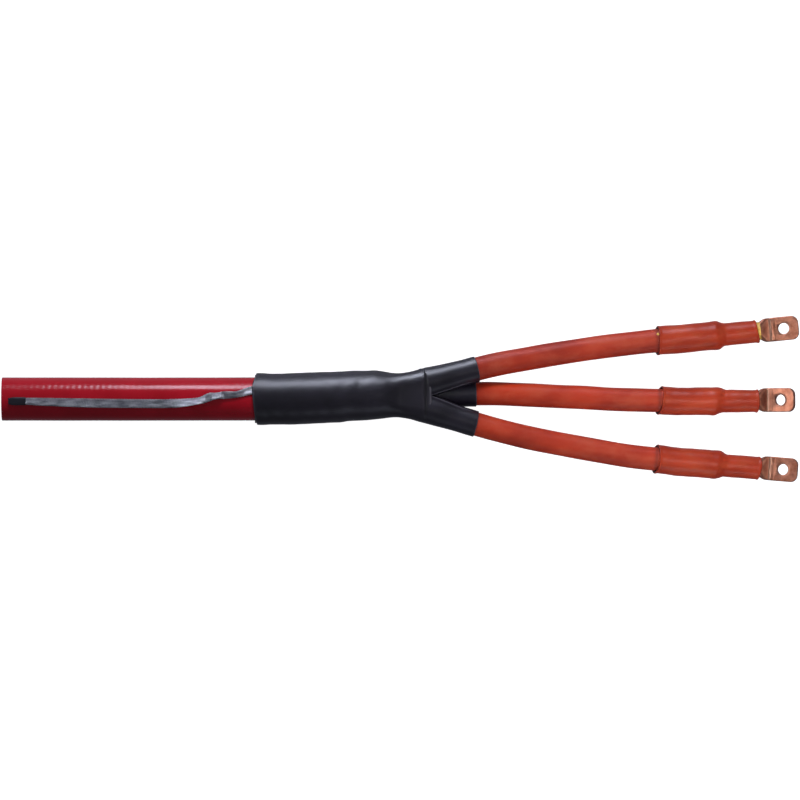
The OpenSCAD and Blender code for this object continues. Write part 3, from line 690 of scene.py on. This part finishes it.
make_piece("sheath_skin", [sheath_shell()], "sheath_red", ["outer_sheath"])


# Breakout boot

# The step down to the shoulder, on the right and on the left side: where, over what length and how deep
STEP_AT = CABLE_LEN + 87, CABLE_LEN + 92
STEP_LEN = 12, 26
STEP_DEEP = 1.6, 1.0
# Dimples on the upper left: depth and length of their wave, where it starts, and where they are deepest
DIMPLE_DEEP, DIMPLE_LEN = 0.28, 17
DIMPLES_FROM, DIMPLES_AT, DIMPLES_ANGLE = CABLE_LEN + 62, CABLE_LEN + 98, 0.9
# Where the body turns into the wrap of the cores, the waist there, and the bulge before it on the left side
NECK_FROM = CABLE_LEN + 130
NECK_TO = CABLE_LEN + 150
WAIST_AT, WAIST_DEEP = CABLE_LEN + 137, 1.5
BULGE_AT, BULGE_HIGH = CABLE_LEN + 123, 0.6
# The seal under the boot: its radius, and where it ends
SEAL_R = 24.05
SEAL_END = CABLE_LEN + 113
GROOVE_AT = CROTCH_AT + 0.8
WEB_END = CROTCH_AT + 5.0
# How far the mouth is cut back on both sides and further on the right, and how far it reaches over the braid
SIDES_BACK, RIGHT_BACK, BRAID_COVER = 3.0, 0.4, 1.6
# Where the braid goes in under the mouth, from level across towards up
BRAID_ANGLE = np.radians(60)
# How much fuller the neck and the fingers are round the crotch than further out
ROOT_FULLER = 1.8
# Where the moulding's fin runs along each finger, from level across towards up
FIN_AT = np.radians([150, 90, 30])
FIN_HIGH = [0.6, 0.0, 0.6]


def hull_edge(lobes, radius, angles):
    """Distance from the axis to the tight wrap round three lobes, in each direction: the nearest of the
    wrap's tangent lines, each as far out as the lobe that reaches furthest its way."""
    normal = around(240)
    across, up = lobes[:, :, :1], lobes[:, :, 1:]
    reach = np.max(across * np.cos(normal) + up * np.sin(normal), axis=1) + radius[:, None]
    facing = np.cos(angles[:, None] - normal[None])
    facing = np.where(facing > 0.05, facing, np.nan)
    return np.nanmin(reach[:, None, :] / facing[None], axis=2)


def crotch_groove(x, left):
    """Depth of the shallow groove round the boot where the fingers start: deeper towards the left finger."""
    return mix(0.1, 1.0, smooth(1.5 * left)) * hump(x, GROOVE_AT, 1.3)


def boot_dimples(x, angle):
    """Shallow dimples along the upper left of the boot, where it shrank unevenly: a wave along the boot that
    dies away from its deepest place, both along the boot and round it."""
    wave = np.sin(TURN * (x - DIMPLES_FROM) / DIMPLE_LEN)
    return DIMPLE_DEEP * wave * hump(x, DIMPLES_AT, 26) * hump(angle, DIMPLES_ANGLE, 0.6)


def boot_outline(x, angle):
    """Outside of the boot's body, as distance from the cable's axis at stations and angles. A cylinder steps
    down to a shoulder, sharply on the right side and slowly on the left, narrows to a waist, then turns into
    the tight wrap of the three lobes and ends in a groove and a thin web."""
    spread = smooth((x - NECK_FROM) / (NECK_TO - NECK_FROM))
    axis = CABLE.place(x)
    seats = [path.place(x)[:, 1:] - axis[:, 1:] for path in CORE_PATHS]
    lobes = np.stack(seats, axis=1) * spread[:, None, None]
    fuller = ROOT_FULLER * smooth((x - CROTCH_AT + 20) / 20) - 1.2 * smooth((x - GROOVE_AT) / 1.5)
    edge = hull_edge(lobes, mix(BODY_R, NECK_R + fuller, spread), angle)
    left = (1 + np.cos(angle[None])) / 2
    step = smooth((x[:, None] - mix(*STEP_AT, left)) / mix(*STEP_LEN, left)) * mix(*STEP_DEEP, left)
    waist = WAIST_DEEP * hump(x, WAIST_AT, 11)[:, None] - BULGE_HIGH * left * hump(x, BULGE_AT, 6)[:, None]
    shrunk = 0.3 * swell(x[:, None], angle[None], 11) + 0.2 * swell(2.6 * x[:, None], angle[None], 12) \
        + 0.12 * swell(3.4 * x[:, None], 2 * angle[None], 13) + boot_dimples(x[:, None], angle[None])
    settle = smooth((x - CABLE_LEN) / 14)[:, None] * smooth((CROTCH_AT - x) / 14)[:, None]
    outline = edge - step * (1 - spread[:, None]) - waist + (shrunk - 0.2) * settle
    on_mastic = SEAL_R + 0.35 - 8 * smooth((x[:, None] - SEAL_END) / 25)
    return rounded_max(outline, on_mastic, 0.3) - crotch_groove(x[:, None], left)


def boot_body():
    """The boot's body as one closed shell: from a pole inside the crotch back along the bore, round the lip
    of the mouth, forward over the outside and round the edge of the web to its pole."""
    angle = around(180)
    wall, lip, edge_r = 1.8, 1.5, 1.6
    bend = np.linspace(0, np.pi / 2, 8)
    lip_x = CABLE_LEN + lip * (1 - np.cos(bend))
    body_x = np.concatenate([np.linspace(CABLE_LEN + lip + 0.6, CROTCH_AT - 4, 190),
                             np.linspace(CROTCH_AT - 3.6, WEB_END, 22)])
    edge_x = WEB_END + edge_r * np.sin(bend)
    outer_x = np.concatenate([lip_x, body_x, edge_x])
    outer_r = boot_outline(np.minimum(outer_x, WEB_END), angle)
    outer_r[:len(bend)] -= (lip * (1 - np.sin(bend)))[:, None]
    outer_r[-len(bend):] -= (edge_r * (1 - np.cos(bend)))[:, None]
    close_x = WEB_END + edge_r - np.array([0.8, 2.4, 4.0])
    close_r = outer_r[-1][None] * np.array([0.75, 0.5, 0.25])[:, None]
    inner_x = np.linspace(CROTCH_AT - 6, CABLE_LEN + 0.4, 30)
    inner_r = np.minimum(boot_outline(inner_x, angle) - wall, BODY_R - wall - 0.05)
    x = np.concatenate([[CROTCH_AT - 5.9], inner_x, outer_x, close_x])
    radii = np.concatenate([inner_r[:1] * 0.4, inner_r, outer_r, close_r])
    mouth_cut = SIDES_BACK * np.cos(angle) ** 2 + RIGHT_BACK * (1 - np.cos(angle)) \
        - BRAID_COVER * hump(angle, BRAID_ANGLE, 0.45)
    shift = smooth(1 - (x - CABLE_LEN) / 26)[:, None] * mouth_cut[None]
    axis = CABLE.place(x)
    points = np.stack([axis[:, :1] + shift + 0 * radii, axis[:, 1:2] + radii * np.cos(angle),
                       axis[:, 2:] + radii * np.sin(angle)], axis=-1)
    # Painted highlight on the lip of the mouth and on the edge of the web; painted shade in the groove where
    # the fingers start
    painted_light_marks = 0.5 * hump(x, WEB_END + 0.6, 1.0) - 0.8 * hump(x, GROOVE_AT, 1.2) \
        + 0.25 * hump(x, CABLE_LEN + 0.8, 1.0)
    return grid(points, caps=True, u_values=x, painted_light=painted_light_marks[:, None])


def boot_finger(k):
    """A finger of the boot: a tube on its core, fuller at the root, with its end cut not quite square."""
    angle = around(144)
    bore = TUBE_R + 0.12
    end_at = FINGER_ENDS[k]
    outer = np.concatenate([np.linspace(CROTCH_AT - 3, CROTCH_AT + 5, 24),
                            np.linspace(CROTCH_AT + 6, end_at - 0.6, 60)])
    end = np.array([end_at - 0.2, end_at, end_at])
    root = smooth((CROTCH_AT + 44 - outer) / 44)
    shrunk = 0.24 * swell(1.4 * outer[:, None], angle[None], 20 + k) * smooth((end_at - outer) / 16)[:, None]
    fin = FIN_HIGH[k] * hump(angle_from(angle, FIN_AT[k]), 0, 0.05) * smooth((end_at - outer) / 20)[:, None]
    outer_r = (FINGER_R + ROOT_FULLER * root - crotch_groove(outer, 1 - k / 2))[:, None] + shrunk + fin
    end_r = np.array([FINGER_R - 0.1, FINGER_R - 0.4, bore])[:, None] + 0 * angle
    inner = np.linspace(end_at - 1, CROTCH_AT + 2, 24)
    stations = np.concatenate([outer, end, inner])
    radii = np.concatenate([outer_r, end_r, np.full((len(inner), len(angle)), bore)])
    frames = CORE_PATHS[k].frames(stations)
    points = swept(frames, radii, angle)
    skew = 0.8 * smooth((stations - end_at + 12) / 12)[:, None] * np.cos(angle - 1.1 - k)
    # Painted highlight on the rim of the finger's end and along its fin; painted shade in the groove at its
    # root
    painted_light_marks = (0.45 * hump(stations, end_at, 0.5) - 0.8 * hump(stations, GROOVE_AT, 1.2))[:, None] + 0 * angle
    painted_light_marks[:len(outer)] += 1.5 * fin
    return grid(points + skew[..., None] * frames[1][:, None], round_u=True, u_values=stations, painted_light=painted_light_marks)


make_piece("boot_skin", [boot_body()] + [boot_finger(k) for k in range(3)], "boot_black", ["breakout_boot"])


# Core tubes

def tube_shell(k):
    """A shrunk tube on its core, with a slow uneven swelling, and painted shade where it goes into finger and
    sleeve.
    """
    path, wall = CORE_PATHS[k], 1.8
    angle = around(80)
    outer = np.arange(TUBE_FROM[k], path.end + 2, 1.2)
    outer_r = TUBE_R + 0.16 * swell(outer[:, None], angle[None], 40 + k)
    inner = outer[::-6]
    inner_r = np.full((len(inner), len(angle)), TUBE_R - wall)
    stations = np.concatenate([outer, inner])
    points = swept(path.frames(stations), np.concatenate([outer_r, inner_r]), angle)
    sleeve_at = path.end - SLEEVE_BACK[k]
    # Painted shade where the tube goes into the finger and into the sleeve
    painted_shade_marks = -0.5 * hump(stations, FINGER_ENDS[k] - 0.6, 1.6) - 0.6 * hump(stations, sleeve_at + 0.8, 2.2)
    return grid(points, round_u=True, u_values=stations, painted_light=painted_shade_marks[:, None])


for k, core in enumerate(CORES):
    make_piece(f"{core}_tube_skin", [tube_shell(k)], "tube_red", [f"{core}_outer_tube"])


# Lug sleeves

# Radii of each sleeve's wide part, of its nose and of the lug's barrel, and where barrel and nose end
WIDE_R = [14.3, 13.9, 14.3]
NOSE_R = 11.35
BARREL_R = 8.25
BARREL_END = 44.0
NOSE_AT = [41.8, 44.8, 44.2]
# Where each sleeve starts to narrow, how much later on its left side, and over what length
TAPER_AT = [0.5, 2.6, 1.8]
TAPER_LATER = [0.0, 1.8, 1.6]
TAPER_LEN = 9.5
# How far the slant of each sleeve's ends reaches towards the lug: on the left side and on top
START_CUT = [(1.2, 1.7), (2.0, 3.4), (0.4, 3.6)]
NOSE_CUT = [(-1.2, 0.5), (0.2, 1.5), (0.5, 2.2)]
# How far the shrunk sleeve sits to the right of the lug's axis
SLEEVE_LEAN = [0.4, 1.0, 0.7]


def slanted(cut, angle, waver, phase):
    """How far a slanted end is shifted at each angle: on the left side and on top, with a slight waver."""
    return cut[0] * np.cos(angle) + cut[1] * np.sin(angle) + waver * np.sin(3 * angle + phase)


def sleeve_shell(k):
    """A sleeve shrunk over tube and lug barrel: wide, a ridge over the tube's end, a wrinkled taper, then
    narrow. Both ends are cut on a slant and slightly flared; the end faces and the inside are darkened with
    painted shade."""
    path = CORE_PATHS[k]
    angle = around(96)
    back, nose = SLEEVE_BACK[k], NOSE_AT[k]
    u = np.concatenate([np.linspace(-back, -back + 3, 8), np.arange(-back + 3.8, nose - 3, 0.8),
                        np.linspace(nose - 2.6, nose, 9)])
    taper_at = TAPER_AT[k] + TAPER_LATER[k] * np.cos(angle)
    into_taper = u[:, None] - taper_at
    outer = mix(WIDE_R[k], NOSE_R, smooth(into_taper / TAPER_LEN))
    ridge = 0.3 * hump(into_taper, -1.5, 3.5) + 0.25 * hump(into_taper, 7, 2) * np.cos(3 * angle + k)
    wrinkles = 0.2 * np.sin(2 * angle + 0.7 * u[:, None] + 2 * k) * hump(into_taper, 5, 5)
    lumps = 0.24 * swell(1.3 * u[:, None], angle[None], 60 + k) \
        + 0.12 * swell(4 * u[:, None], angle[None], 70 + k)
    calm = (smooth((u + back) / 5) * smooth((nose - u) / 5))[:, None]
    flare = 0.5 * hump(u, -back + 1.1, 1.2) + 0.45 * hump(u, nose - 1.0, 1.0)
    rounding = 0.5 * (hump(u, -back, 0.35) + hump(u, nose, 0.3))
    outer = outer + (ridge + wrinkles + lumps) * calm + (flare - rounding)[:, None]
    bore_u = np.array([nose, nose - 1.5, 14, 11, 9, 7, 5, 3, 1, -10, -20, -30, -40,
                       -back + 7, -back + 3, -back])
    bore_r = mix(TUBE_R + 0.15, BARREL_R + 0.8, smooth((bore_u - 2) / 9))
    bore_r[-3:] = TUBE_R + 0.3, TUBE_R + 0.8, TUBE_R + 1.1
    stations = np.concatenate([u, bore_u])
    radii = np.concatenate([outer, bore_r[:, None] + 0 * angle])
    place, along, across, up = path.frames(path.end + stations)
    shift = smooth(1 - (stations + back) / 14)[:, None] * slanted(START_CUT[k], angle, 0.25, k) \
        + smooth((stations - nose + 9) / 9)[:, None] * slanted(NOSE_CUT[k], angle, 0.2, 2 * k)
    lean = SLEEVE_LEAN[k] * smooth((stations + back) / 20)
    points = swept((place - lean[:, None] * across, along, across, up), radii, angle)
    points = points + shift[..., None] * along[:, None]
    inside = np.concatenate([np.zeros(len(u)), np.ones(len(bore_u))])
    # Painted shade over the whole inside and on both end faces
    painted_shade = -np.maximum(inside, 0.7 * np.maximum(hump(stations, -back, 0.5), hump(stations, nose, 0.3)))
    return grid(points, round_u=True, u_values=stations, painted_light=painted_shade[:, None])


for k, core in enumerate(CORES):
    make_piece(f"{core}_sleeve_skin", [sleeve_shell(k)], "sleeve_brick", [f"{core}_lug_sleeve"])


# Lugs

# Palm: where it starts along the lug, its size, its hole, its tilt and how far it lies below the lug's axis
PALM_ROOT = 55.0
PALM_W, PALM_T, PALM_LEN = 24.0, 5.0, 29.0
PALM_CORNER = 6.5
HOLE_R, HOLE_AT = 5.5, 14.0
PALM_TILT = np.radians([8, 24, 15])
PALM_DROP = BARREL_R - PALM_T / 2


def on_lug(k, points):
    """Points given along, across and above the lug's axis, brought into the frame of the solids."""
    place, along, across, up = [v[0] for v in CORE_PATHS[k].frames(np.array([CORE_PATHS[k].end]))]
    return place + points[..., :1] * along + points[..., 1:2] * across + points[..., 2:] * up


def pitched(points, angle, pivot):
    """Points turned up about a level line across the lug, at a pivot given along and above its axis."""
    x, z = points[..., 0] - pivot[0], points[..., 2] - pivot[1]
    return np.stack([pivot[0] + x * np.cos(angle) - z * np.sin(angle), points[..., 1],
                     pivot[1] + x * np.sin(angle) + z * np.cos(angle)], axis=-1)


def lug_neck(k):
    """The stretch from the round barrel to the flat palm. Its top falls from the barrel in a straight slope
    and meets the palm's top in a rounded valley; its bottom runs level and then up with the palm. Each ring
    is a rounded box between the two that grows from a circle to the palm's width."""
    x = np.concatenate([np.linspace(36, BARREL_END, 6), np.linspace(BARREL_END + 0.3, PALM_ROOT + 6, 60)])
    angle = around(72)
    tilt = PALM_TILT[k]
    rise = np.tan(tilt) * (x - PALM_ROOT)
    thick = PALM_T / np.cos(tilt)
    palm_top = -PALM_DROP + thick / 2 + rise + 0.06 - 0.3 * smooth((x - PALM_ROOT - 3.5) / 2.5)
    slope = (2 * BARREL_R - PALM_T) / (PALM_ROOT - BARREL_END - 0.5)
    fall = BARREL_R - slope * (x - BARREL_END + 0.3)
    top = rounded_max(-rounded_max(-BARREL_R + 0 * x, -fall, 1.2), palm_top, 2.6)
    bottom = rounded_max(-BARREL_R + 0 * x, -PALM_DROP - thick / 2 + rise - 0.02, 0.5)
    flat = smooth((x - BARREL_END) / (PALM_ROOT - BARREL_END - 1.5))
    spread = np.sin(np.pi / 2 * np.clip((x - BARREL_END + 0.5) / 8.5, 0, 1))
    half_w = mix(BARREL_R, PALM_W / 2, spread) - 0.1 * flat
    power = mix(1.0, 0.22, flat)[:, None]
    across = half_w[:, None] * boxed(np.cos(angle), power)
    up = ((top - bottom) / 2)[:, None] * boxed(np.sin(angle), power)
    points = np.stack([x[:, None] + 0 * across, across, ((top + bottom) / 2)[:, None] + up], axis=-1)
    # Painted highlight along the bend into the palm; painted shade down the slope from the barrel, and
    # slightly darker just past the bend
    painted_light_marks = 0.9 * hump(x, PALM_ROOT + 0.2, 1.2) - 0.25 * hump(x, 48, 4.5) - 0.15 * hump(x, PALM_ROOT + 4, 1.5)
    return grid(on_lug(k, points), caps=True, u_values=x, painted_light=painted_light_marks[:, None])


def palm_reach(angles):
    """Distance from the hole's centre to the palm's outline: a rectangle with two round corners and a
    slightly bowed end, found by stepping out by the distance that is still free."""
    reach = np.full(len(angles), HOLE_R)
    for _ in range(40):
        x, y = HOLE_AT + reach * np.cos(angles), np.abs(reach * np.sin(angles))
        corner = np.where(x > HOLE_AT, PALM_CORNER, 0.4)
        bow = 0.5 * (y / (PALM_W / 2)) ** 2
        dx = np.abs(x - HOLE_AT) - (PALM_LEN - HOLE_AT - bow * (x > HOLE_AT) - corner)
        dy = y - (PALM_W / 2 - corner)
        free = np.hypot(np.maximum(dx, 0), np.maximum(dy, 0)) + np.minimum(np.maximum(dx, dy), 0) - corner
        reach = reach - 0.7 * free
    return reach


def lug_palm(k):
    """The palm as a profile carried round its bolt hole: hole wall with broken edges, top, rounded rim and
    underside."""
    angles = around(180)
    half, edge, chamfer = PALM_T / 2, 0.7, 0.4
    bend = np.linspace(0, np.pi / 2, 6)
    top = [(0, 0, half - chamfer), (0, chamfer, half), (0.3, 0, half), (0.6, 0, half), (0.85, 0, half)]
    rim = [(1, -edge * (1 - np.sin(b)), half - edge * (1 - np.cos(b))) for b in bend]
    upper = np.array(top + rim)
    # Painted shade just inside the hole's broken edge and round the rounded rim; a painted highlight where
    # the broken edge meets the top
    upper_light_marks = np.array([-0.3, 0.3, 0, 0, 0] + [-0.1, -0.3, -0.5, -0.6, -0.6, -0.6])
    profile = np.concatenate([upper, upper[::-1] * [1, 1, -1]])[::-1]
    painted_light_marks = np.concatenate([upper_light_marks, upper_light_marks[::-1]])[::-1]
    radius = mix(HOLE_R, palm_reach(angles)[None], profile[:, :1]) + profile[:, 1:2]
    flat = np.stack([HOLE_AT + radius * np.cos(angles), radius * np.sin(angles),
                     profile[:, 2:] + 0 * radius], axis=-1)
    root = np.array([PALM_ROOT, -PALM_DROP])
    turned = pitched(flat + [root[0], 0, root[1]], PALM_TILT[k], root)
    return grid(on_lug(k, turned), round_u=True, painted_light=painted_light_marks[:, None])


# Mastic squeezed out at each sleeve's nose: where most of it is, from level across towards up, and how much
BEAD_SIDE = np.radians([142, 200, 20])
BEAD_SIZE = [1.9, 0.2, 0.3]


def mastic_bead(k):
    """A bead of mastic round the barrel at the sleeve's nose, thick on one side and thin on the other."""
    angle = around(72)
    turn = around(14)[::-1]
    amount = 0.25 + BEAD_SIZE[k] * hump(angle_from(angle, BEAD_SIDE[k]), 0, 0.7)
    amount = (amount * (1 + 0.15 * np.sin(5 * angle + k)))[None]
    along = NOSE_AT[k] - 0.4 + (1.2 + 1.3 * amount) * np.cos(turn)[:, None]
    radius = BARREL_R - 0.2 + (0.9 + 0.6 * amount) * np.maximum(np.sin(turn)[:, None], -0.2)
    points = np.stack([along, radius * np.cos(angle), radius * np.sin(angle)], axis=-1)
    return grid(on_lug(k, points), round_u=True)


for k, core in enumerate(CORES):
    make_piece(f"{core}_lug_body", [lug_neck(k), lug_palm(k)], "lug_copper", [f"{core}_lug"])
    make_piece(f"{core}_mastic_bead", [mastic_bead(k)], "mastic_yellow")


def sealant_spot(k, turn, size):
    """A drop of sealant at the sleeve's start: a low dome of rings round a point on the tube."""
    reach, angle = np.linspace(0.15, 1, 7)[::-1, None], around(20)
    along = -SLEEVE_BACK[k] + 0.9 + size * reach * np.cos(angle)
    radius = TUBE_R - 0.3 + 0.9 * size * np.sqrt(1.02 - reach ** 2) + 0 * angle
    around_tube = turn + size * reach * np.sin(angle) / TUBE_R
    points = np.stack([along, radius * np.cos(around_tube), radius * np.sin(around_tube)], axis=-1)
    return grid(on_lug(k, points)[:, ::-1], caps=True)


make_piece("left_sealant_spot", [sealant_spot(0, np.radians(57), 1.5)], "mastic_yellow")


# Cut end of the cable

WIRES_IN_RINGS = [1, 6, 12]
WIRE_R = 0.98


def wire_end(across, up):
    """The domed end of one wire of a conductor, just out of the sawn face."""
    angle = around(12)
    profile = np.array([[0.3, 1.0], [-0.05, 1.0], [-0.16, 0.85], [-0.22, 0.5]])[::-1] * [1, WIRE_R]
    points = np.stack([CUT_X + profile[:, :1] + 0 * angle, across + profile[:, 1:] * np.cos(angle),
                       up + profile[:, 1:] * np.sin(angle)], axis=-1)
    return grid(points, caps=True)


def conductor_end(seat):
    """The wires of one conductor: one in the middle and rings of six and twelve round it."""
    ends = []
    for ring, count in enumerate(WIRES_IN_RINGS):
        for turn in around(count) + 0.2 * ring:
            radius = 2 * WIRE_R * ring * (1.0 if ring < 2 else 0.98)
            ends.append(wire_end(seat[0] + radius * np.cos(turn), AXIS_Z + seat[1] + radius * np.sin(turn)))
    return ends


for seat, core in zip(SEATS, CORES):
    make_piece(f"{core}_wire_ends", conductor_end(seat), "copper_wire")
